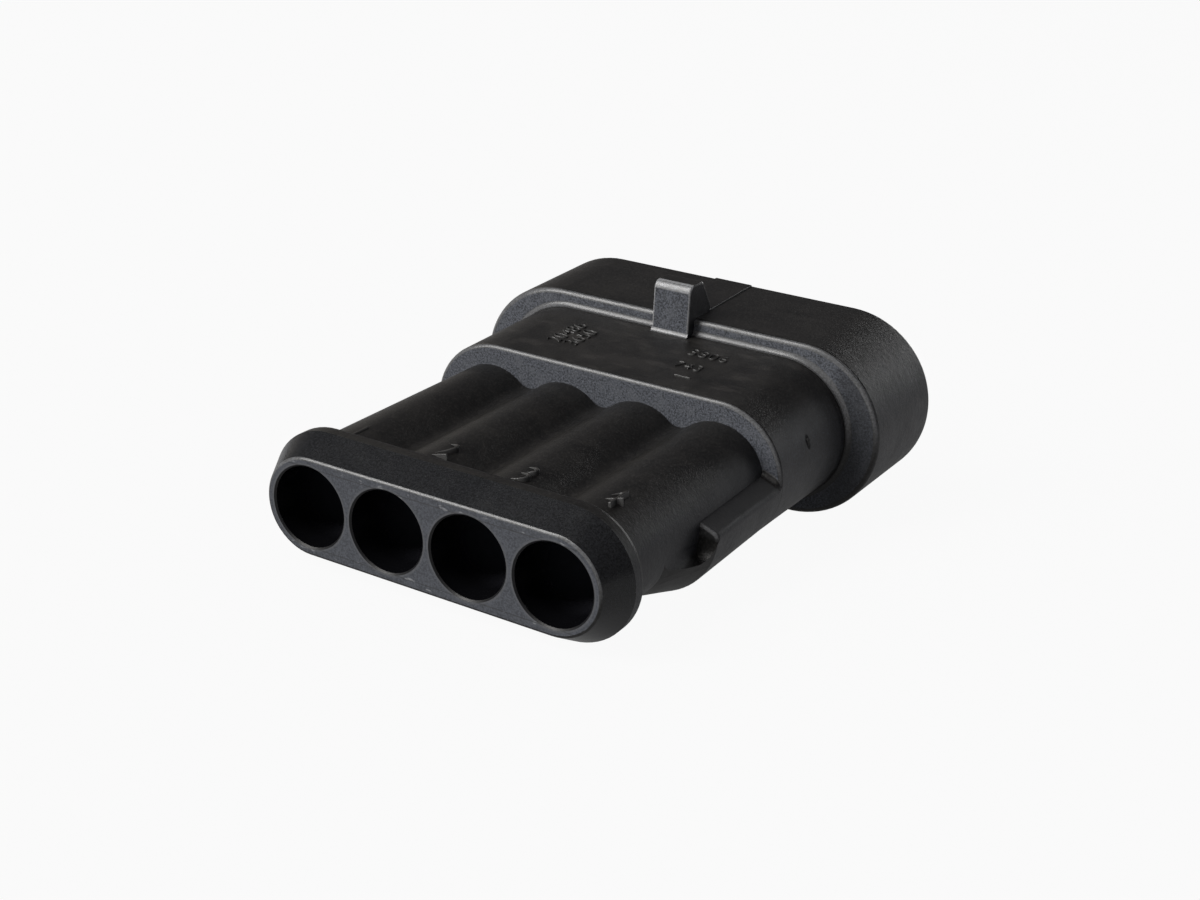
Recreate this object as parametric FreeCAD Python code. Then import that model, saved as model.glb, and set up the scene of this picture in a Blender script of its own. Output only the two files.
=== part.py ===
import FreeCAD, Part
import math
import os

# Four-way sealed connector housing for male contacts, with the secondary lock it is supplied with.
# Lengths are in millimetres. X runs along the row of ways, +Y points out of the mating end and
# +Z towards the catch. The origin is the bottom centre of the housing's box.
# Sections are drawn with the ways' axes at Z = 0 and the wire-entry face at Y = 0, then placed.

# Row of contact ways
way_count = 4
way_pitch = 6.0

# Wire seal bores and the flange round them
seal_bore_radius = 2.70
seal_bore_depth = 11.0
seal_bore_rim = 0.12
flange_face_wall = 0.55
flange_rise = 1.15
flange_cone_length = 2.0
flange_land_length = 1.1
flange_face_edge = 0.22
flange_land_edge = 0.38
flange_root = 0.45

# Barrels that hold the seals and contacts, merged in a row
barrel_wall = 0.85
valley_radius = 1.2
barrel_length = 20.4

# Wide body: the socket that takes the nose of the mating plug
socket_radius = 3.9
socket_end_centre = 8.85
socket_floor = 1.5
body_wall = 1.13
body_length = 10.25
body_edge = 0.28
shoulder_fillet = 0.45

# Shroud round the mating end
shroud_end_centre = 10.0
shroud_inner_radius = 5.3
shroud_wall = 1.16
shroud_length = 9.6
shroud_edge = 0.38
shroud_mouth_edge = 0.3
shoulder_wall = 1.25
draft_angle = 1.4

# Polarising ribs inside the shroud, on its lower wall
key_rib_spacing = 12.0
key_rib_width = 1.0
key_rib_height = 0.6
key_rib_setback = 0.8

# Rails along both sides, for a mounting clip, and the ramp below them
rail_top = 0.65
rail_slope = 21.5
rail_length = 9.0
rail_edge = 0.5
rail_end_round = 0.25
rail_root = 0.45
ramp_top = -1.65
ramp_length = 5.6
ramp_start_drop = 0.25
ramp_hollow = 1.4
ramp_root = 1.0

# Catch for the mating plug's latch, and the raised pad ahead of it
catch_width = 3.0
catch_overhang = 0.9
catch_height = 2.65
catch_flat = 1.35
catch_far_edge = 0.4
catch_ramp_angle = 55.0
catch_crown = 0.6
catch_root = 0.35
catch_side_edge = 0.15
pad_width = 3.1
pad_height = 0.14
pad_edge = 0.1

# Contact chamber behind each seal bore, its lance and its tab slot
chamber_width = 2.5
chamber_bottom = -1.5
chamber_top = 1.0
seal_seat_taper = 1.0
lance_root_land = 2.0
lance_width = 1.3
lance_thickness = 0.65
lance_front_gap = 0.4
lance_tooth_depth = 0.5
lance_tooth_length = 1.6
lance_room = 0.75
tab_slot_width = 1.9
tab_slot_height = 1.1

# Secondary lock plate on the socket's floor, shown in its pre-locked place
lock_clearance = 0.2
lock_floor_gap = 0.1
lock_travel = 1.5
lock_thickness = 3.0
lock_edge = 0.25
lock_tab_width = 2.4
lock_tab_height = 1.8
lock_core_width = 2.0
lock_core_height = 4.4
lock_core_depth = 2.1
lock_core_corner = 0.4
finger_clearance = 0.1
finger_grip = 0.5
finger_side_clearance = 0.15
finger_tip_chamfer = 0.15
detent_radius = 0.5
detent_proud = 0.3
detent_height = 2.0
detent_setback = 0.9
detent_room = 0.3

# Derived places, measured along Y from the wire-entry face and along Z from the ways' axes
way_positions = [(i - (way_count - 1) / 2) * way_pitch for i in range(way_count)]
row_half = way_positions[-1]
flange_face_radius = seal_bore_radius + flange_face_wall
flange_land_radius = flange_face_radius + flange_rise
flange_length = flange_cone_length + flange_land_length
barrel_radius = seal_bore_radius + barrel_wall
body_start = barrel_length
body_end = body_start + body_length
length = body_end + shroud_length
draft_rise = math.tan(math.radians(draft_angle))
body_radius = socket_radius + body_wall
body_front_radius = body_radius + body_length * draft_rise
shroud_radius = shroud_inner_radius + shroud_wall
shroud_mouth_radius = shroud_radius + shroud_length * draft_rise
socket_floor_face = body_start + socket_floor
shroud_floor_face = body_end + shoulder_wall
lance_root = seal_bore_depth + seal_seat_taper + lance_root_land
lance_tip = body_start - lance_front_gap
window_bottom = chamber_top + lance_thickness
window_top = window_bottom + lance_room
lock_rear_face = socket_floor_face + lock_floor_gap + lock_travel
lock_radius = socket_radius - lock_clearance
finger_reach = lock_rear_face - lock_travel - (lance_tip - finger_grip)

catch_rear = body_end - catch_overhang
catch_top = shroud_radius + catch_height
catch_flat_end = catch_rear + catch_crown + catch_flat
overall_width = 2 * (shroud_end_centre + shroud_mouth_radius)

past = 1.0  # how far a cutting solid runs past the face it opens
sunk = 0.5  # how far a fused form reaches into the one it stands on
near = 0.02  # slack when an edge is picked by where it lies


def point(x, y, z):
    return FreeCAD.Vector(x, y, z)


def slot_wire(end_centre, radius, y):
    """Round-ended outline across X and Z at a given Y."""
    left, right = -end_centre, end_centre
    lines_and_arcs = [
        Part.LineSegment(point(left, y, radius), point(right, y, radius)),
        Part.Arc(point(right, y, radius), point(right + radius, y, 0), point(right, y, -radius)),
        Part.LineSegment(point(right, y, -radius), point(left, y, -radius)),
        Part.Arc(point(left, y, -radius), point(left - radius, y, 0), point(left, y, radius)),
    ]
    return Part.Wire([piece.toShape() for piece in lines_and_arcs])


def slot_solid(end_centre, radius, start, end, end_radius=None):
    """Round-ended bar from one Y to another; it tapers if its two end radii differ."""
    if end_radius is None:
        return Part.Face(slot_wire(end_centre, radius, start)).extrude(point(0, end - start, 0))
    side = [(start, radius), (end, end_radius), (end, -end_radius), (start, -radius)]
    wedge = side_profile(side, 2 * end_centre)
    cones = []
    for x in (-end_centre, end_centre):
        cones.append(Part.makeCone(radius, end_radius, end - start, point(x, start, 0), point(0, 1, 0)))
    return wedge.fuse(cones).removeSplitter()


def block(width, x, start, end, bottom, top):
    """Rectangular solid centred on x, between two Y faces and two Z faces."""
    corner = point(x - width / 2, start, bottom)
    return Part.makeBox(width, end - start, top - bottom, corner)


def side_profile(points_yz, width, x=0.0):
    """Solid from a closed outline in the Y-Z plane, extruded across its width about x."""
    corners = [point(x - width / 2, y, z) for y, z in points_yz]
    outline = Part.makePolygon(corners + corners[:1])
    return Part.Face(outline).extrude(point(width, 0, 0))


def cross_profile(points_xz, start, end):
    """Solid from a closed outline across the part, extruded from one Y to another."""
    corners = [point(x, start, z) for x, z in points_xz]
    outline = Part.makePolygon(corners + corners[:1])
    return Part.Face(outline).extrude(point(0, end - start, 0))


def cylinder_y(radius, x, start, end):
    return Part.makeCylinder(radius, end - start, point(x, start, 0), point(0, 1, 0))


def edges_at(shape, y, keep=None):
    """Edges that lie wholly at one Y, and pass the optional test on their box."""
    found = []
    for edge in shape.Edges:
        box = edge.BoundBox
        if abs(box.YMin - y) < near and abs(box.YMax - y) < near:
            if keep is None or keep(box):
                found.append(edge)
    return found


def body_top(y):
    """Height of the wide body's flat top at a given Y."""
    return body_radius + (y - body_start) * draft_rise


def shroud_top(y):
    """Height of the shroud's flat top at a given Y."""
    return shroud_radius + (y - body_end) * draft_rise


def barrel_row_outline(y):
    """Outline of the merged barrels: outer arcs with a rounded valley between neighbours."""
    reach = barrel_radius + valley_radius
    half = way_pitch / 2
    valley_centre = math.sqrt(reach ** 2 - half ** 2)
    touch_x = half * barrel_radius / reach
    touch_z = valley_centre * barrel_radius / reach
    valley_floor = valley_centre - valley_radius
    pieces = []
    for side in (1, -1):
        for x in way_positions[1:-1]:
            ends = [point(x - touch_x, y, side * touch_z), point(x + touch_x, y, side * touch_z)]
            pieces.append(Part.Arc(ends[0], point(x, y, side * barrel_radius), ends[1]))
        for x in way_positions[:-1]:
            ends = [point(x + touch_x, y, side * touch_z), point(x + way_pitch - touch_x, y, side * touch_z)]
            pieces.append(Part.Arc(ends[0], point(x + half, y, side * valley_floor), ends[1]))
    for x, away in ((way_positions[0], -1), (way_positions[-1], 1)):
        ends = [point(x - away * touch_x, y, touch_z), point(x - away * touch_x, y, -touch_z)]
        pieces.append(Part.Arc(ends[0], point(x + away * barrel_radius, y, 0), ends[1]))
    return Part.Wire(Part.__sortEdges__([piece.toShape() for piece in pieces]))


def flange():
    """Rear flange: a shallow cone from the wire-entry face up to a land, with softened edges."""
    cone = slot_solid(row_half, flange_face_radius, 0, flange_cone_length, flange_land_radius)
    land = slot_solid(row_half, flange_land_radius, flange_cone_length, flange_length)
    solid = cone.fuse(land).removeSplitter()
    solid = solid.makeFillet(flange_face_edge, edges_at(solid, 0))
    return solid.makeFillet(flange_land_edge, edges_at(solid, flange_length))


def barrels():
    start = flange_length - sunk
    return Part.Face(barrel_row_outline(start)).extrude(point(0, body_start + sunk - start, 0))


def rear_end():
    """Flange and barrels, with the concave root between them."""
    solid = flange().fuse(barrels()).removeSplitter()
    root = edges_at(solid, flange_length, lambda box: box.ZMax < barrel_radius + near)
    return solid.makeFillet(flange_root, root)


def ramp_root_fillet(side, start, end):
    """Concave fillet between an outer barrel's side and the top of the ramp beside it."""
    axis_z = ramp_top + ramp_root
    axis_x = row_half + math.sqrt((barrel_radius + ramp_root) ** 2 - axis_z ** 2)
    top = axis_z * barrel_radius / (barrel_radius + ramp_root)
    width = ramp_root + sunk
    web = block(width, side * (axis_x - width / 2), start, end, ramp_top - sunk, top)
    axis_start = point(side * axis_x, start - past, axis_z)
    return web.cut(Part.makeCylinder(ramp_root, end - start + 2 * past, axis_start, point(0, 1, 0)))


def rails_and_ramp():
    """Lower half of the wide body run on towards the rear, ending in side rails over a ramp."""
    start = body_start - rail_length
    lower = slot_solid(socket_end_centre, body_radius, start, body_start + sunk)
    rail_inner = row_half + barrel_radius
    rail_outer = overall_width / 2
    outer_top = rail_top - (rail_outer - rail_inner) * math.tan(math.radians(rail_slope))
    above_rails = [
        (-rail_outer, outer_top),
        (-rail_inner, rail_top),
        (rail_inner, rail_top),
        (rail_outer, outer_top),
        (rail_outer, body_radius + past),
        (-rail_outer, body_radius + past),
    ]
    cutter = cross_profile(above_rails, start - past, body_start)
    low_edges = edges_at(cutter, body_start, lambda box: box.ZMax < rail_top + near)
    inside_body = cross_profile(above_rails, body_start, body_start + past)
    lower = lower.cut([cutter.makeFillet(rail_root, low_edges), inside_body])
    top_edges = []
    for edge in lower.Edges:
        box = edge.BoundBox
        if box.YLength > rail_length / 2 and box.ZMax < rail_top and box.ZMin > outer_top - near:
            top_edges.append(edge)
    lower = lower.makeFillet(rail_edge, top_edges)
    ramp_start = start - ramp_length
    ramp_radius = barrel_radius - ramp_start_drop
    ramp = slot_solid(socket_end_centre, ramp_radius, ramp_start, start, body_radius)
    above_ramp = block(overall_width, 0, ramp_start - past, start, ramp_top, body_radius + past)
    hollow_edge = edges_at(above_ramp, start, lambda box: box.ZMax < ramp_top + near)
    roots = [ramp.common(ramp_root_fillet(side, ramp_start, start)) for side in (-1, 1)]
    ramp = ramp.cut(above_ramp.makeFillet(ramp_hollow, hollow_edge))
    solid = lower.fuse([ramp] + roots).removeSplitter()
    end_edges = edges_at(solid, start, lambda box: box.ZMin > ramp_top + ramp_hollow - near)
    return solid.makeFillet(rail_end_round, end_edges)


def body_and_shroud():
    """Outside of the wide body and of the shroud, joined by the shoulder with its concave root."""
    body = slot_solid(socket_end_centre, body_radius, body_start, body_end, body_front_radius)
    body = body.makeFillet(body_edge, edges_at(body, body_start))
    shroud = slot_solid(shroud_end_centre, shroud_radius, body_end, length, shroud_mouth_radius)
    shroud = shroud.makeFillet(shroud_edge, edges_at(shroud, body_end))
    shroud = shroud.makeFillet(shroud_mouth_edge, edges_at(shroud, length))
    solid = body.fuse(shroud).removeSplitter()
    root = edges_at(solid, body_end, lambda box: box.ZMax < body_front_radius + near)
    return solid.makeFillet(shoulder_fillet, root)


def catch():
    """Latch catch: upright rear face, rounded crown, short flat and a ramp down to the pad."""
    foot = shroud_radius - sunk
    ramp_end = catch_flat_end + (catch_top - foot) / math.tan(math.radians(catch_ramp_angle))
    bottom = body_top(catch_rear) - sunk
    outline = [
        (catch_rear, bottom),
        (catch_rear, catch_top),
        (catch_flat_end, catch_top),
        (ramp_end, foot),
        (ramp_end, bottom),
    ]
    solid = side_profile(outline, catch_width)
    crown = edges_at(solid, catch_rear, lambda box: abs(box.ZMin - catch_top) < near)
    solid = solid.makeFillet(catch_crown, crown)
    far_edge = edges_at(solid, catch_flat_end, lambda box: box.XLength > near)
    solid = solid.makeFillet(catch_far_edge, far_edge)
    sides = []
    for edge in solid.Edges:
        box = edge.BoundBox
        if box.XLength < near and box.ZMax > foot + near and box.YMin < ramp_end - near:
            sides.append(edge)
    return solid.makeFillet(catch_side_edge, sides)


def catch_root_fillet():
    """Concave fillet between the body's top and the catch's rear face."""
    base = body_top(catch_rear - catch_root)
    rear = catch_rear - catch_root
    side = [
        (rear, base - sunk),
        (rear, base + catch_root),
        (catch_rear + sunk, base + catch_root),
        (catch_rear + sunk, base - sunk),
    ]
    web = side_profile(side, catch_width)
    hollow_axis = point(-catch_width, rear, base + catch_root)
    return web.cut(Part.makeCylinder(catch_root, 2 * catch_width, hollow_axis, point(1, 0, 0)))


def pad():
    """Low raised pad on the shroud's top, from the foot of the catch's ramp to the mouth."""
    ramp_run = (catch_height - pad_height) / math.tan(math.radians(catch_ramp_angle))
    start = catch_flat_end + ramp_run - sunk
    end = length - shroud_mouth_edge
    outline = [
        (start, shroud_top(start) - sunk),
        (start, shroud_top(start) + pad_height),
        (end, shroud_top(end) + pad_height),
        (end, shroud_top(end) - sunk),
    ]
    solid = side_profile(outline, pad_width)
    top_edges = edges_at(solid, end, lambda box: box.ZMin > shroud_top(start))
    for edge in solid.Edges:
        if edge.BoundBox.ZMin > shroud_top(start) and edge.BoundBox.YLength > past:
            top_edges.append(edge)
    return solid.makeFillet(pad_edge, top_edges)


def socket_and_shroud_space():
    """Room inside the mating end: the socket for the plug's nose and the wider shroud."""
    socket = slot_solid(socket_end_centre, socket_radius, socket_floor_face, shroud_floor_face + past)
    mouth_radius = shroud_inner_radius + (length - shroud_floor_face) * draft_rise
    room = slot_solid(shroud_end_centre, shroud_inner_radius, shroud_floor_face, length, mouth_radius)
    mouth_lead = length - shroud_mouth_edge
    wide_mouth = mouth_radius + shroud_mouth_edge
    lead_in = slot_solid(shroud_end_centre, mouth_radius, mouth_lead, length, wide_mouth)
    socket_lead = shroud_floor_face - shroud_mouth_edge
    wide_socket = socket_radius + shroud_mouth_edge
    step = slot_solid(socket_end_centre, socket_radius, socket_lead, shroud_floor_face, wide_socket)
    return [socket, room.fuse(lead_in), step]


def key_ribs():
    """Polarising ribs along the shroud's lower wall, clear of the mouth."""
    ribs = []
    top = -shroud_inner_radius + key_rib_height
    for x in (-key_rib_spacing / 2, key_rib_spacing / 2):
        start = shroud_floor_face - sunk
        end = length - key_rib_setback
        ribs.append(block(key_rib_width, x, start, end, -shroud_inner_radius - sunk, top))
    return ribs


def way_room(x):
    """All that is hollow in one way, from the wire seal's mouth to the tab slot."""
    along = point(0, 1, 0)
    seal = cylinder_y(seal_bore_radius, x, 0, seal_bore_depth)
    rim_radius = seal_bore_radius + seal_bore_rim
    rim = Part.makeCone(rim_radius, seal_bore_radius, seal_bore_rim, point(x, 0, 0), along)
    seat_end_radius = math.hypot(chamber_width / 2, chamber_bottom)
    seat_start = point(x, seal_bore_depth, 0)
    seat = Part.makeCone(seal_bore_radius, seat_end_radius, seal_seat_taper, seat_start, along)
    chamber = block(chamber_width, x, seal_bore_depth, body_start, chamber_bottom, chamber_top)
    slot_top = tab_slot_height / 2
    slot_end = socket_floor_face + past
    tab_slot = block(tab_slot_width, x, body_start - past, slot_end, -slot_top, slot_top)
    lance_space = block(chamber_width, x, lance_root, body_start, chamber_top - near, window_top)
    window_width = lance_width + 2 * finger_side_clearance
    window = block(window_width, x, body_start - past, slot_end, window_bottom, window_top)
    return seal.fuse([rim, seat, chamber, tab_slot, lance_space, window])


def lance(x):
    """Springy finger that snaps behind a contact: its tooth hangs into the chamber near the tip."""
    root = lance_root - sunk
    tooth_start = lance_tip - lance_tooth_length
    outline = [
        (root, chamber_top),
        (tooth_start, chamber_top),
        (lance_tip, chamber_top - lance_tooth_depth),
        (lance_tip, chamber_top + lance_thickness),
        (root, chamber_top + lance_thickness),
    ]
    return side_profile(outline, lance_width, x)


def detent_recesses():
    """Shallow pockets in the socket's ends, in which the lock plate's detents travel."""
    detent_y = lock_rear_face + lock_thickness - detent_setback
    start = detent_y - lock_travel - detent_radius - lock_clearance
    end = detent_y + detent_radius + lock_clearance
    depth = socket_end_centre + lock_radius + detent_proud + detent_room
    height = detent_height + 2 * lock_clearance
    return block(2 * depth, 0, start, end, -height / 2, height / 2)


def housing():
    """The moulding: its outside, less all its rooms, with the lances and ribs that stand in them."""
    forms = [rails_and_ramp(), body_and_shroud(), catch(), catch_root_fillet(), pad()]
    outside = rear_end().fuse(forms)
    rooms = socket_and_shroud_space() + [detent_recesses()]
    rooms += [way_room(x) for x in way_positions]
    inside = [lance(x) for x in way_positions] + key_ribs()
    return outside.cut(rooms).fuse(inside).removeSplitter()


def lock_body():
    """Round-ended plate with a window for each tab and a coring pocket between windows."""
    front = lock_rear_face + lock_thickness
    plate = slot_solid(socket_end_centre, lock_radius, lock_rear_face, front)
    plate = plate.makeFillet(lock_edge, edges_at(plate, front))
    cuts = []
    tab_top = lock_tab_height / 2
    for x in way_positions:
        cuts.append(block(lock_tab_width, x, lock_rear_face - past, front + past, -tab_top, tab_top))
    core_top = lock_core_height / 2
    core_floor = front - lock_core_depth
    for x in way_positions[:-1]:
        middle = x + way_pitch / 2
        core = block(lock_core_width, middle, core_floor, front + past, -core_top, core_top)
        upright = [edge for edge in core.Edges if edge.BoundBox.YLength > past]
        cuts.append(core.makeFillet(lock_core_corner, upright))
    return plate.cut(cuts)


def lock_finger(x):
    """Finger that reaches through the socket's floor and stops one lance from springing up."""
    bottom = window_bottom + finger_clearance
    top = window_top - finger_clearance
    tip_face = lock_rear_face - finger_reach
    finger = block(lance_width, x, tip_face, lock_rear_face + sunk, bottom, top)
    tip = edges_at(finger, tip_face, lambda box: box.XLength > near)
    return finger.makeChamfer(finger_tip_chamfer, tip)


def lock_detent(side):
    """Upright half-round rib at one end of the plate, held in the socket's recess."""
    y = lock_rear_face + lock_thickness - detent_setback
    x = side * (socket_end_centre + lock_radius + detent_proud - detent_radius)
    return Part.makeCylinder(detent_radius, detent_height, point(x, y, -detent_height / 2))


def secondary_lock():
    extras = [lock_finger(x) for x in way_positions] + [lock_detent(-1), lock_detent(1)]
    return lock_body().fuse(extras).removeSplitter()


def place(shape):
    """From the drawing axes to the part's origin, at the bottom centre of its box."""
    return shape.translated(point(0, -length / 2, shroud_mouth_radius))


os.makedirs("parts", exist_ok=True)
place(housing()).exportStep("parts/housing.step")
place(secondary_lock()).exportStep("parts/secondary_lock.step")
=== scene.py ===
import math

import bpy
from mathutils import Matrix, Vector


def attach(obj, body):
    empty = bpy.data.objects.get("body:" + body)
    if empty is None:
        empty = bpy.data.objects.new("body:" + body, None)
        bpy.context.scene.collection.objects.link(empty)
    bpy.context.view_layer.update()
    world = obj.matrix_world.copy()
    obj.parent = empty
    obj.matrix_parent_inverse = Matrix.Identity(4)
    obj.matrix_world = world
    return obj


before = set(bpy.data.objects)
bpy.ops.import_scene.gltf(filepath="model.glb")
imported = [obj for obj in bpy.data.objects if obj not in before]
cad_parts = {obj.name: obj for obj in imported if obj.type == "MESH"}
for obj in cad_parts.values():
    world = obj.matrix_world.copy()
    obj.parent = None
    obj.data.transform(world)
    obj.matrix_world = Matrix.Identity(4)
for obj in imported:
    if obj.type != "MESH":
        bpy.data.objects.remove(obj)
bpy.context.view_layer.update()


# The housing is one moulding in black glass-filled nylon. Faces square to the wires were spark
# eroded in the mould, so they are matt, grey and speckled. The drawn sides between them are
# darker and smoother, and the rounded edges take a shine. Places here are in millimetres.
MM = 0.001
WAY_PITCH = 6.0
WAY_AXIS_Z = 6.6946
WIRE_FACE_Y = -20.125


class Field:
    """A number that changes over a surface. Sums with it add the shader's own maths nodes."""

    def __init__(self, nodes, socket):
        self.nodes = nodes
        self.socket = socket

    def maths(self, operation, first, second):
        return self.nodes.add("ShaderNodeMath", {"operation": operation}, {0: first, 1: second})

    def __add__(self, other):
        return self.maths("ADD", self, other)

    def __sub__(self, other):
        return self.maths("SUBTRACT", self, other)

    def __rsub__(self, other):
        return self.maths("SUBTRACT", other, self)

    def __mul__(self, other):
        return self.maths("MULTIPLY", self, other)

    def __truediv__(self, other):
        return self.maths("DIVIDE", self, other)

    def __abs__(self):
        return self.maths("ABSOLUTE", self, 0.0)

    def modulo(self, other):
        return self.maths("MODULO", self, other)

    def hypot(self, other):
        return self.maths("SQRT", self * self + other * other, 0.0)

    def at_least(self, other):
        return self.maths("MAXIMUM", self, other)

    __radd__ = __add__
    __rmul__ = __mul__


class Nodes:
    """A node tree, and the ways in which nodes are added to it."""

    def __init__(self, tree):
        self.tree = tree

    def add(self, kind, settings=None, inputs=None, output=0):
        node = self.tree.nodes.new(kind)
        for name, value in (settings or {}).items():
            setattr(node, name, value)
        for name, value in (inputs or {}).items():
            self.feed(node.inputs[name], value)
        return Field(self, node.outputs[output])

    def feed(self, socket, value):
        if isinstance(value, Field):
            self.tree.links.new(value.socket, socket)
        else:
            socket.default_value = value

    def blend(self, amount, first, second):
        """The first colour where the amount is 0, and the second where it is 1."""
        slots = {0: amount, 6: first, 7: second}
        return self.add("ShaderNodeMix", {"data_type": "RGBA"}, slots, output=2)


class Finish(Nodes):
    """One material, with the patterns that its surface shows."""

    def __init__(self, name):
        self.material = bpy.data.materials.new(name)
        self.material.use_nodes = True
        super().__init__(self.material.node_tree)
        self.shader = self.tree.nodes["Principled BSDF"]
        coordinates = self.tree.nodes.new("ShaderNodeTexCoord")
        self.place = Field(self, coordinates.outputs["Object"])
        self.normal = Field(self, coordinates.outputs["Normal"])

    def along(self, vector, axis):
        return self.add("ShaderNodeSeparateXYZ", inputs={0: vector}, output=axis)

    def grain(self, size, detail=2.0, stretch=(1.0, 1.0, 1.0), shift=0.0):
        """Noise from 0 to 1 in patches about one size across, in millimetres."""
        slots = {"Vector": self.place, "Scale": stretch, "Location": (shift, shift, shift)}
        place = self.add("ShaderNodeMapping", inputs=slots)
        slots = {"Vector": place, "Scale": 1.0 / (size * MM), "Detail": detail, "Roughness": 0.55}
        return self.add("ShaderNodeTexNoise", inputs=slots)

    def rise(self, value, low, high):
        """0 below one value, 1 above another, and a smooth rise between."""
        slots = {0: value, 1: low, 2: high, 3: 0.0, 4: 1.0}
        return self.add("ShaderNodeMapRange", {"interpolation_type": "SMOOTHSTEP"}, slots)

    def fall(self, value, low, high):
        """1 below one value, 0 above another, and a smooth fall between."""
        return 1.0 - self.rise(value, low, high)

    def band(self, value, low, high, soft):
        """1 between two values and 0 outside them."""
        return self.rise(value, low - soft, low) * self.fall(value, high, high + soft)

    def past(self, position, place, soft):
        """0 short of a place and 1 past it, with a soft line between."""
        return self.rise(position, place - soft, place + soft)

    def short_of(self, position, place, soft):
        """1 short of a place and 0 past it, with a soft line between."""
        return self.fall(position, place - soft, place + soft)

    def relief(self, height, depth):
        """Bumps of a given depth in millimetres."""
        slots = {"Height": height, "Distance": depth * MM, "Strength": 1.0}
        self.set("Normal", self.add("ShaderNodeBump", inputs=slots))

    def set(self, name, value):
        self.feed(self.shader.inputs[name], value)


def grey(level, tint=(1.0, 1.0, 1.0)):
    return (level * tint[0], level * tint[1], level * tint[2], 1.0)


def wear(piece, finish):
    piece.data.materials.clear()
    piece.data.materials.append(finish.material)
    for face in piece.data.polygons:
        face.material_index = 0


nylon = Finish("black_nylon")
across = nylon.along(nylon.place, "X") / MM
lengthways = nylon.along(nylon.place, "Y") / MM
height = nylon.along(nylon.place, "Z") / MM
to_right = nylon.along(nylon.normal, "X")
to_mate = nylon.along(nylon.normal, "Y")
to_wires = 0.0 - to_mate
upward = nylon.along(nylon.normal, "Z")

# Which way a face looks says how the mould made it. The flange's cone slopes by 30 degrees.
RAIL_END_Y = -8.5
rail_end = nylon.fall(abs(lengthways - RAIL_END_Y), 0.9, 1.1)
eroded = nylon.rise(to_wires, 0.985, 0.999) * (1.0 - rail_end)
drawn = nylon.fall(abs(to_mate), 0.03, 0.12)
cone = nylon.band(to_wires, 0.485, 0.51, 0.025)

# Inside the seal bores the wall is smooth and lies in the dark.
BORE_RADIUS = 2.7
BORE_CHAMFER = 0.12
BORE_END_Y = -9.0
ROW_HALF_WIDTH = 2 * WAY_PITCH
from_way = abs((across + ROW_HALF_WIDTH).modulo(WAY_PITCH) - WAY_PITCH / 2)
from_axis = from_way.hypot(height - WAY_AXIS_Z)
in_bore = nylon.short_of(from_axis, BORE_RADIUS + BORE_CHAMFER, 0.02)
in_bore = in_bore * nylon.fall(abs(across), ROW_HALF_WIDTH - 0.06, ROW_HALF_WIDTH)
in_bore = in_bore * nylon.short_of(lengthways, BORE_END_Y, 0.5)
polished = in_bore * nylon.past(lengthways, WIRE_FACE_Y + BORE_CHAMFER, 0.02)

# The outer rounded edges that face up and towards the wires are painted paler, a painted
# highlight on top of their shine. The hollow corners at the foot of the step face, in front of
# the rails' ends and below them lie in shade and are left out of both.
RAIL_FRONT = (-10.2, -8.74)
STEP_FOOT = (-0.25, 0.25)
RAIL_ROOT_X = 11.1
RAIL_EDGE_Z = 6.5
in_hollow = nylon.band(lengthways, *RAIL_FRONT, 0.02) + nylon.band(lengthways, *STEP_FOOT, 0.02)
below_rail_end = rail_end * nylon.past(abs(across), RAIL_ROOT_X, 0.1)
below_rail_end = below_rail_end * nylon.short_of(height, RAIL_EDGE_Z, 0.2)
edge = (1.0 - eroded) * (1.0 - drawn) * (1.0 - cone) * (1.0 - in_bore)
edge = edge * nylon.rise(upward, -0.1, 0.2) * nylon.fall(to_mate, 0.1, 0.35)
edge = edge * (1.0 - in_hollow) * (1.0 - below_rail_end)
painted_edge_highlight = edge * nylon.rise(to_wires, 0.25, 0.5)

# The catch's crown and the rim round its face are painted paler still, a painted highlight.
CATCH_HALF_WIDTH = 1.6
CATCH_FOOT_Z = 12.0
CATCH_FRONT = (9.55, 10.0)
CROWN_Z = 15.15
CROWN_END_Y = 10.4
catch_painted_highlight = edge * nylon.past(height, CROWN_Z, 0.15) * nylon.short_of(lengthways, CROWN_END_Y, 0.1)
on_catch = nylon.short_of(abs(across), CATCH_HALF_WIDTH, 0.05)
on_catch = on_catch * nylon.past(height, CATCH_FOOT_Z, 0.05)
on_catch = on_catch * nylon.band(lengthways, *CATCH_FRONT, 0.1) * (1.0 - eroded)
catch_painted_highlight = catch_painted_highlight.at_least(on_catch * nylon.rise(to_wires, 0.15, 0.4))

fine = nylon.grain(0.07, shift=0.7)
speck = nylon.grain(0.14, detail=3.0)
grit = nylon.grain(0.17, detail=4.0, shift=2.7)
dimple = nylon.grain(0.5, shift=1.1)
bruise = nylon.rise(nylon.grain(0.7, shift=2.1), 0.45, 0.7)
streak = nylon.grain(0.8, detail=3.0, stretch=(0.35, 1.0, 1.0), shift=0.4)
scuff = nylon.grain(1.3, detail=4.0, stretch=(0.5, 1.0, 1.0), shift=1.7)
cloud = nylon.grain(2.6, shift=0.3)
pits = nylon.rise(speck * 0.6 + fine * 0.4, 0.36, 0.66)
gritty = nylon.rise(grit * 0.45 + speck * 0.35 + fine * 0.2, 0.47, 0.63)
blotch = nylon.rise(cloud, 0.3, 0.7)
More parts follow.
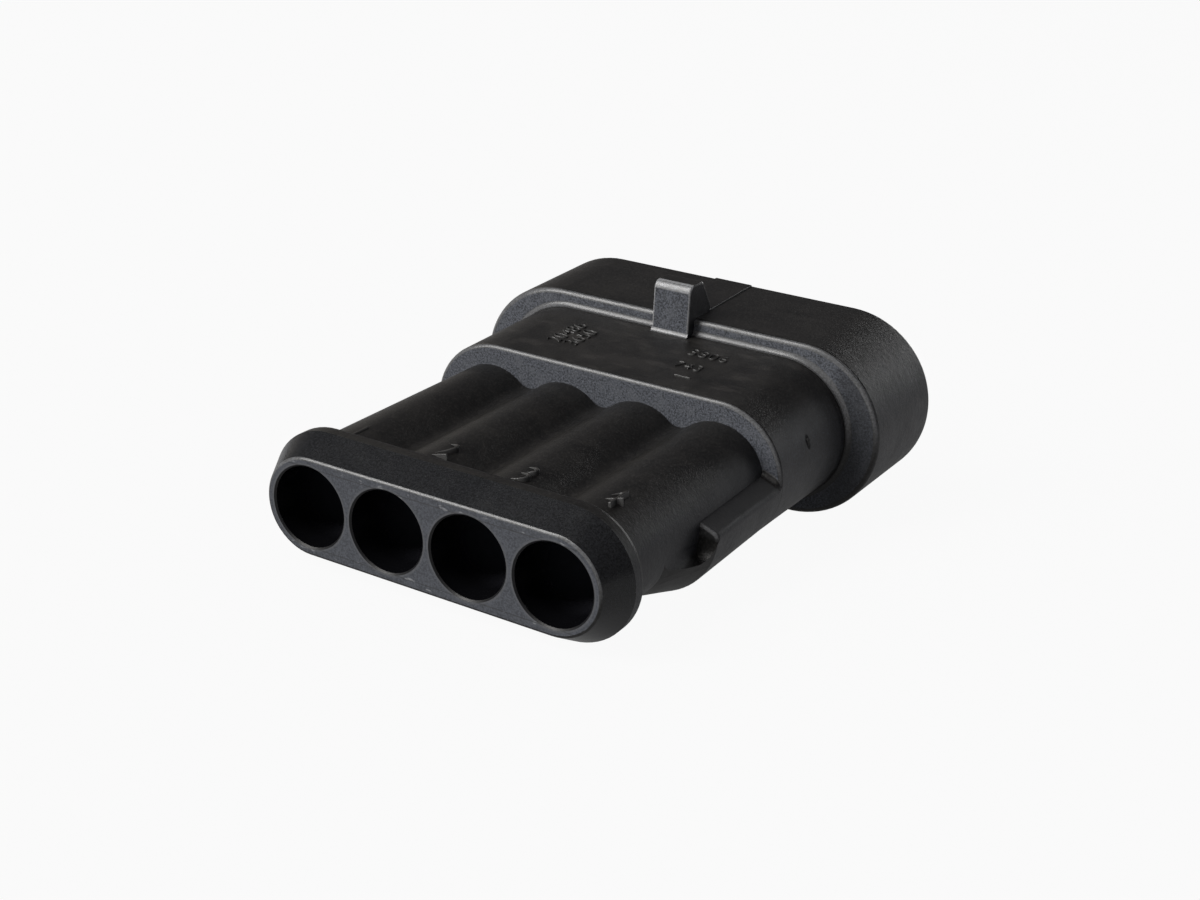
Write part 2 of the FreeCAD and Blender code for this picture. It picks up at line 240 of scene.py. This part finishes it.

# The drawn sides are nearly black and a little warm, with streaks, grit and scuffs. The wide
# body's top has been handled more. Faces turned to the right and the wide body's right end are
# painted paler and cooler, a painted reflection of light from that side, and the rails' tops are
# painted paler, painted light in their shade.
WARM = (1.05, 1.0, 0.95)
BROWNISH = (1.08, 1.0, 0.92)
VIOLET = (0.92, 0.96, 1.14)
PALE_COOL = (0.96, 0.99, 1.05)
BODY_LENGTH = (0.6, 9.8)
BODY_SIDE_LENGTH = (0.6, 9.4)
BODY_TOP_Z = 11.65
RAIL_LENGTH = (-8.6, -0.2)
RAIL_TOP_X = 12.4
RAIL_TOP_Z = 7.45
on_body = nylon.band(lengthways, *BODY_LENGTH, 0.3) * nylon.past(height, BODY_TOP_Z, 0.15)
# Faces turned to the right are painted paler and violet: a painted reflection, not their own
# colour.
body_end_painted_sheen = nylon.band(lengthways, *BODY_SIDE_LENGTH, 0.3) * nylon.rise(to_right, 0.6, 0.95) * drawn
right_side_painted_sheen = nylon.rise(to_right, 0.8, 0.98) * drawn
# The rails' tops are painted paler: painted light on faces that lie in the barrels' shadow.
rail_top_painted_light = nylon.band(lengthways, *RAIL_LENGTH, 0.1) * nylon.past(abs(across), RAIL_TOP_X, 0.1)
rail_top_painted_light = rail_top_painted_light * nylon.short_of(height, RAIL_TOP_Z, 0.05) * nylon.rise(upward, 0.5, 0.8)
scuffed = nylon.rise(scuff, 0.52, 0.66) * (on_body * 0.7 + 0.3) * drawn
handled = nylon.blend(blotch, grey(0.008), grey(0.028, WARM))
right_sheen_tone = nylon.blend(gritty, grey(0.03, VIOLET), grey(0.065, VIOLET))
body_end_sheen_tone = nylon.blend(gritty, grey(0.06), grey(0.11, VIOLET))

dark = nylon.blend(blotch, grey(0.003, WARM), grey(0.007, BROWNISH))
dark = nylon.blend(nylon.rise(streak, 0.5, 0.75) * 0.6, dark, grey(0.01, BROWNISH))
dark = nylon.blend(gritty * 0.6, dark, grey(0.03, WARM))
dark = nylon.blend(on_body * 0.5, dark, handled)
dark = nylon.blend(scuffed * 0.45, dark, grey(0.036, BROWNISH))
# The painted reflection on the right sides and the wide body's end goes on here.
dark = nylon.blend(right_side_painted_sheen * 0.6, dark, right_sheen_tone)
dark = nylon.blend(rail_top_painted_light * 0.6, dark, grey(0.045, PALE_COOL))
dark = nylon.blend(body_end_painted_sheen * 0.6, dark, body_end_sheen_tone)

# The gate mark on the right side of the wide body has a dull dark ring round it.
GATE = Vector((13.53, 4.675, 8.4946))
GATE_RING = 0.29
from_gate = (lengthways - GATE.y).hypot((height - GATE.z) * 0.5) + abs(across - GATE.x) * 0.2
gate_ring = nylon.short_of(from_gate, GATE_RING, 0.05)
dark = nylon.blend(gate_ring, dark, grey(0.002))

# The eroded faces are pitted and bruised. On the wire face a paler rim runs round each bore,
# and the mould's inserts left a fine line over and under the bores, with flecks of flash.
COOL = (0.92, 0.99, 1.16)
SOFT_COOL = (0.94, 0.99, 1.1)
SHOULDER_LENGTH = (9.0, 10.8)
SHOULDER_TURN_X = 13.0
RIM_WIDTH = 0.22
# The shoulder ring's right end is painted darker: painted shade where the wide body blocks the key
# light.
shoulder_right_painted_shade = nylon.band(lengthways, *SHOULDER_LENGTH, 0.2)
shoulder_right_painted_shade = shoulder_right_painted_shade * nylon.past(across, SHOULDER_TURN_X, 1.0)
wire_face = nylon.short_of(lengthways, WIRE_FACE_Y + 0.075, 0.05)
rim = nylon.band(from_axis, BORE_RADIUS, BORE_RADIUS + RIM_WIDTH, 0.05) * wire_face
from_middle = abs(height - WAY_AXIS_Z)
insert_line = nylon.band(from_middle, BORE_RADIUS - 0.01, BORE_RADIUS + 0.03, 0.03) * wire_face
fleck = nylon.rise(nylon.grain(0.3, stretch=(0.4, 1.0, 1.0), shift=0.9), 0.6, 0.7)
flash = nylon.band(from_middle, BORE_RADIUS - 0.1, BORE_RADIUS + 0.25, 0.1) * wire_face * fleck

pale = nylon.blend(pits, grey(0.024, COOL), grey(0.15, COOL))
pale = nylon.blend(bruise * 0.35, pale, grey(0.13, SOFT_COOL))
# Painted shade on the right end of the shoulder ring.
pale = nylon.blend(shoulder_right_painted_shade * 0.6, pale, grey(0.018, SOFT_COOL))
pale = nylon.blend(wire_face * 0.6, pale, grey(0.06, COOL))
pale = nylon.blend(rim * 0.5, pale, grey(0.11, PALE_COOL))
pale = nylon.blend(insert_line * 0.6, pale, grey(0.03))
pale = nylon.blend(flash, pale, grey(0.22, PALE_COOL))

BORE_TINT = (0.95, 0.97, 1.2)
# Painted highlight colours for the outer edges and for the catch's crown and face rim.
edge_highlight_tone = nylon.blend(pits, grey(0.08), grey(0.15, PALE_COOL))
catch_highlight_tone = nylon.blend(pits, grey(0.2), grey(0.32, PALE_COOL))
cone_tone = nylon.blend(pits, grey(0.007, SOFT_COOL), grey(0.021, SOFT_COOL))
# The bore wall is painted nearly black at the mouth and paler deep inside: painted light that evens
# out the dark bore.
depth_in_bore = nylon.rise(lengthways, -18.5, -11.0)
bore_wall_painted_light = nylon.blend(depth_in_bore, grey(0.004, BORE_TINT), grey(0.12, BORE_TINT))

skin = nylon.blend(eroded, dark, pale)
skin = nylon.blend(painted_edge_highlight, skin, edge_highlight_tone)
skin = nylon.blend(catch_painted_highlight, skin, catch_highlight_tone)
skin = nylon.blend(cone, skin, cone_tone)
skin = nylon.blend(in_bore, skin, bore_wall_painted_light)

BORE_ROUGHNESS = 0.12
roughness = 0.44 + eroded * 0.12 - cone * 0.2 - edge * 0.17 - scuffed * 0.06
roughness = roughness + (cloud - 0.5) * 0.16 + (streak - 0.5) * 0.14
roughness = roughness + (grit - 0.5) * drawn * 0.3 + gate_ring * 0.3
roughness = roughness * (1.0 - polished) + polished * BORE_ROUGHNESS

specks = speck * (0.8 - edge * 0.6 - cone * 0.6 - wire_face * 0.3) + fine * 0.4
bumps = (specks + (grit * 0.7 + dimple * 1.2) * drawn) * (1.0 - polished)
nylon.set("Base Color", skin)
nylon.set("Roughness", roughness)
nylon.set("Specular IOR Level", 0.39)
nylon.relief(bumps, 0.014)
wear(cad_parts["housing"], nylon)


# The way numbers stand on the barrels beside the flange, one to each bore. They are part of
# the moulding: cut into the mould, so raised here, with rounded edges that catch the light.
BARREL_RADIUS = 3.55
NUMBER_RELIEF = 0.07
NUMBER_DEPTH = 0.5
NUMBER_SIZE = 3.4
NUMBER_THINNING = -0.095
NUMBER_STRETCH = 1.5
NUMBER_VOXEL = 0.04


def deselect():
    bpy.ops.object.select_all(action="DESELECT")


def apply_all(piece):
    bpy.context.view_layer.objects.active = piece
    for modifier in list(piece.modifiers):
        bpy.ops.object.modifier_apply(modifier=modifier.name)


def moulded_number(digits, size, top, turn=0.0, tilt=0.0, stretch=1.0, bend_radius=None):
    """Raised plain digits. Their top is measured from the wire face and the ways' axes."""
    deselect()
    bpy.ops.object.text_add()
    piece = bpy.context.object
    piece.data.body = digits
    piece.data.size = size
    piece.data.align_x = "CENTER"
    piece.data.align_y = "CENTER"
    piece.data.extrude = NUMBER_DEPTH / 2
    piece.data.offset = NUMBER_THINNING * size / NUMBER_SIZE
    bpy.ops.object.convert(target="MESH")
    piece = bpy.context.object
    piece.scale.x = stretch
    bpy.ops.object.transform_apply(location=False, rotation=False, scale=True)
    remesh = piece.modifiers.new("even", "REMESH")
    remesh.mode = "VOXEL"
    remesh.voxel_size = NUMBER_VOXEL
    soften = piece.modifiers.new("soft", "SMOOTH")
    soften.factor = 0.5
    soften.iterations = 3
    if bend_radius:
        bend = piece.modifiers.new("round", "SIMPLE_DEFORM")
        bend.deform_method = "BEND"
        bend.deform_axis = "Y"
        bend.angle = -piece.dimensions.x / bend_radius
    apply_all(piece)
    bpy.ops.object.shade_smooth()
    place = Vector(top) + Vector((0.0, WIRE_FACE_Y, WAY_AXIS_Z - NUMBER_DEPTH / 2))
    piece.rotation_mode = "ZYX"
    piece.rotation_euler = (tilt, 0.0, turn)
    piece.location = place * MM
    piece.scale = (MM, MM, MM)
    bpy.ops.object.transform_apply(location=True, rotation=True, scale=True)
    return piece


def join(pieces, name):
    deselect()
    for piece in pieces:
        piece.select_set(True)
    bpy.context.view_layer.objects.active = pieces[0]
    bpy.ops.object.join()
    pieces[0].name = name
    return pieces[0]


numbers = []
for digits, x, y in [("1", -8.85, 4.6), ("2", -2.75, 5.6), ("3", 3.25, 5.5), ("4", 9.35, 5.65)]:
    top = (x, y, BARREL_RADIUS + NUMBER_RELIEF)
    number = moulded_number(
        digits, NUMBER_SIZE, top, stretch=NUMBER_STRETCH, bend_radius=BARREL_RADIUS
    )
    numbers.append(number)


# The mould's own plain numbers stand on the wide body, lower than the way numbers. Its top
# rises a little towards the mating end, for draft, and they follow it.
BODY_START = 20.4
BODY_RADIUS = 5.03
DRAFT = math.radians(1.4)
MARK_RELIEF = 0.11

marks = [
    ("20486", 1.7, -6.1, 25.6, 90.0),
    ("3650", 1.7, -4.75, 25.3, 90.0),
    ("5806", 1.6, 4.5, 27.3, 0.0),
    ("743", 1.5, 4.3, 24.7, 0.0),
    ("1", 2.0, 4.9, 22.8, 90.0),
]
for digits, size, x, y, degrees in marks:
    top = (x, y, BODY_RADIUS + (y - BODY_START) * math.tan(DRAFT) + MARK_RELIEF)
    numbers.append(moulded_number(digits, size, top, math.radians(degrees), DRAFT))

# The numbers' sides that face the wires are painted paler, a painted highlight on the edges that
# catch the key light.
raised = Finish("black_nylon_raised")
mottle = raised.grain(0.35)
front = raised.rise(0.0 - raised.along(raised.normal, "Y"), 0.12, 0.4)
raised.set("Base Color", raised.blend(front, grey(0.014, WARM), grey(0.07)))
raised.set("Roughness", 0.38 + mottle * 0.1 - front * 0.14)
raised.relief(mottle, 0.006)
moulded_numbers = join(numbers, "moulded_numbers")
wear(moulded_numbers, raised)
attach(moulded_numbers, "housing")


# The gate mark is a small round stub on the side of the wide body, left where the nylon was
# let into the mould and cut off nearly flush, so its end is torn and dull.
GATE_RADIUS = 0.16
GATE_DEPTH = 0.4
GATE_STRETCH = 2.0

deselect()
bpy.ops.mesh.primitive_cylinder_add(
    vertices=24,
    radius=GATE_RADIUS * MM,
    depth=GATE_DEPTH * MM,
    location=GATE * MM,
    rotation=(0.0, math.radians(90.0), 0.0),
)
gate_mark = bpy.context.object
gate_mark.name = "gate_mark"
gate_mark.scale.x = GATE_STRETCH
rounding = gate_mark.modifiers.new("cut", "BEVEL")
rounding.width = 0.05 * MM
rounding.segments = 2
apply_all(gate_mark)
bpy.ops.object.transform_apply(location=True, rotation=True, scale=True)
stub = Finish("black_nylon_cut")
torn = stub.grain(0.1)
stub.set("Base Color", stub.blend(torn, grey(0.003), grey(0.02)))
stub.set("Roughness", 0.6 + torn * 0.2)
stub.relief(torn, 0.02)
wear(gate_mark, stub)
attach(gate_mark, "housing")


# The secondary lock is a separate plate moulded in yellow polyester, snapped into the socket
# from the mating end. It is pressed home once the contacts are in, to hold the lances down.
polyester = Finish("yellow_polyester")
tone = polyester.grain(3.0)
sheen = polyester.grain(0.25, shift=0.2)
yellow = polyester.blend(tone, (0.66, 0.40, 0.022, 1.0), (0.74, 0.47, 0.035, 1.0))
polyester.set("Base Color", yellow)
polyester.set("Roughness", 0.34 + sheen * 0.14)
polyester.relief(sheen, 0.006)
wear(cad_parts["secondary_lock"], polyester)


# The housing lies on white paper, on its flange and on the rear edge of its shroud, so the
# paper is set to touch both. The camera sees the paper nearly white, with a faint shadow.
FLANGE_REST = Vector((0.0, -17.83, 2.29)) * MM
SHROUD_REST = Vector((0.0, 10.9, 0.22)) * MM
PAPER_SIZE = 6.0


def background_share(nodes, seen, mirrored):
    """How much of the plain background a ray sees, straight from the camera or mirrored."""
    straight = nodes.add("ShaderNodeLightPath", output="Is Camera Ray")
    glossy = nodes.add("ShaderNodeLightPath", output="Is Glossy Ray")
    through = nodes.add("ShaderNodeLightPath", output="Is Transmission Ray")
    return straight * seen + glossy.at_least(through) * mirrored


slope = math.atan2(SHROUD_REST.z - FLANGE_REST.z, SHROUD_REST.y - FLANGE_REST.y)
deselect()
bpy.ops.mesh.primitive_plane_add(
    size=PAPER_SIZE, location=(FLANGE_REST + SHROUD_REST) / 2, rotation=(slope, 0.0, 0.0)
)
paper = bpy.context.object
paper.name = "paper"
white = Finish("white_paper")
white.set("Base Color", (0.32, 0.32, 0.33, 1.0))
white.set("Roughness", 0.9)
white.set("Specular IOR Level", 0.0)
lit = Field(white, white.shader.outputs[0])
glow = white.add("ShaderNodeEmission", inputs={"Color": (1.0, 1.0, 1.0, 1.0), "Strength": 1.0})
share = background_share(white, seen=0.94, mirrored=0.25)
surface = white.add("ShaderNodeMixShader", inputs={0: share, 1: lit, 2: glow})
white.feed(white.tree.nodes["Material Output"].inputs["Surface"], surface)
wear(paper, white)


# A large soft box up at the front left gives the bright line along each rounded edge. Weak
# panels fill in from the front, above, the left, behind and the mating end. The room round
# them is dim, and white to the camera alone.
AIM = Vector((0.0, 0.0, 7.0)) * MM
LAMP_DISTANCE = 3.0


def soft_box(name, direction, width, height, radiance, tint=(1.0, 1.0, 1.0)):
    """A flat lamp that shines at the housing. White paper's radiance would be 1."""
    lamp = bpy.data.lights.new(name, "AREA")
    lamp.shape = "RECTANGLE"
    lamp.size = width
    lamp.size_y = height
    lamp.energy = radiance * math.pi * width * height
    lamp.color = tint
    holder = bpy.data.objects.new(name, lamp)
    bpy.context.scene.collection.objects.link(holder)
    way = Vector(direction).normalized()
    holder.location = AIM + way * LAMP_DISTANCE
    holder.rotation_euler = way.to_track_quat("Z", "Y").to_euler()


soft_box("key_box", (-0.50, -0.60, 0.62), 1.1, 3.0, radiance=10.8, tint=(1.0, 0.985, 0.965))
soft_box("front_panel", (0.25, -1.0, 0.25), 1.8, 1.8, radiance=0.45)
soft_box("top_panel", (-0.10, -0.40, 0.90), 1.0, 1.0, radiance=1.3, tint=(1.0, 0.96, 0.88))
soft_box("side_panel", (-0.80, 0.55, 0.28), 1.6, 1.6, radiance=0.35, tint=(1.0, 0.93, 0.82))
soft_box("back_panel", (0.58, 0.80, 0.22), 1.6, 1.2, radiance=0.75, tint=(0.95, 0.98, 1.0))
soft_box("mouth_panel", (0.05, 1.0, 0.10), 1.2, 0.9, radiance=4.5)

world = bpy.data.worlds.new("room")
bpy.context.scene.world = world
world.use_nodes = True
room = Nodes(world.node_tree)
background = world.node_tree.nodes["Background"]
share = background_share(room, seen=1.0, mirrored=0.015)
room.feed(background.inputs["Color"], room.blend(share, (0.092, 0.090, 0.095, 1.0), grey(0.96)))
background.inputs["Strength"].default_value = 1.0


# The camera stands where the photograph was taken from: its place, turn and lens were worked
# out from the photograph's own edges.
AZIMUTH, ELEVATION, ROLL = math.radians(29.83), math.radians(22.85), math.radians(2.76)
STAND = Vector((53.738, -93.414, 51.481)) * MM
SENSOR_WIDTH = 36.0
FOCAL_LENGTH = 50.404

lens = bpy.data.cameras.new("camera")
lens.sensor_width = SENSOR_WIDTH
lens.lens = FOCAL_LENGTH
lens.clip_start = 0.005
camera = bpy.data.objects.new("camera", lens)
bpy.context.scene.collection.objects.link(camera)
back = Vector((
    math.sin(AZIMUTH) * math.cos(ELEVATION),
    -math.cos(AZIMUTH) * math.cos(ELEVATION),
    math.sin(ELEVATION),
))
level_right = Vector((0.0, 0.0, 1.0)).cross(back).normalized()
level_up = back.cross(level_right)
right = math.cos(ROLL) * level_right + math.sin(ROLL) * level_up
up = math.cos(ROLL) * level_up - math.sin(ROLL) * level_right
turn = Matrix((right, up, back)).transposed()
camera.matrix_world = Matrix.Translation(STAND) @ turn.to_4x4()
bpy.context.scene.camera = camera
bpy.context.scene.view_settings.view_transform = "Standard"
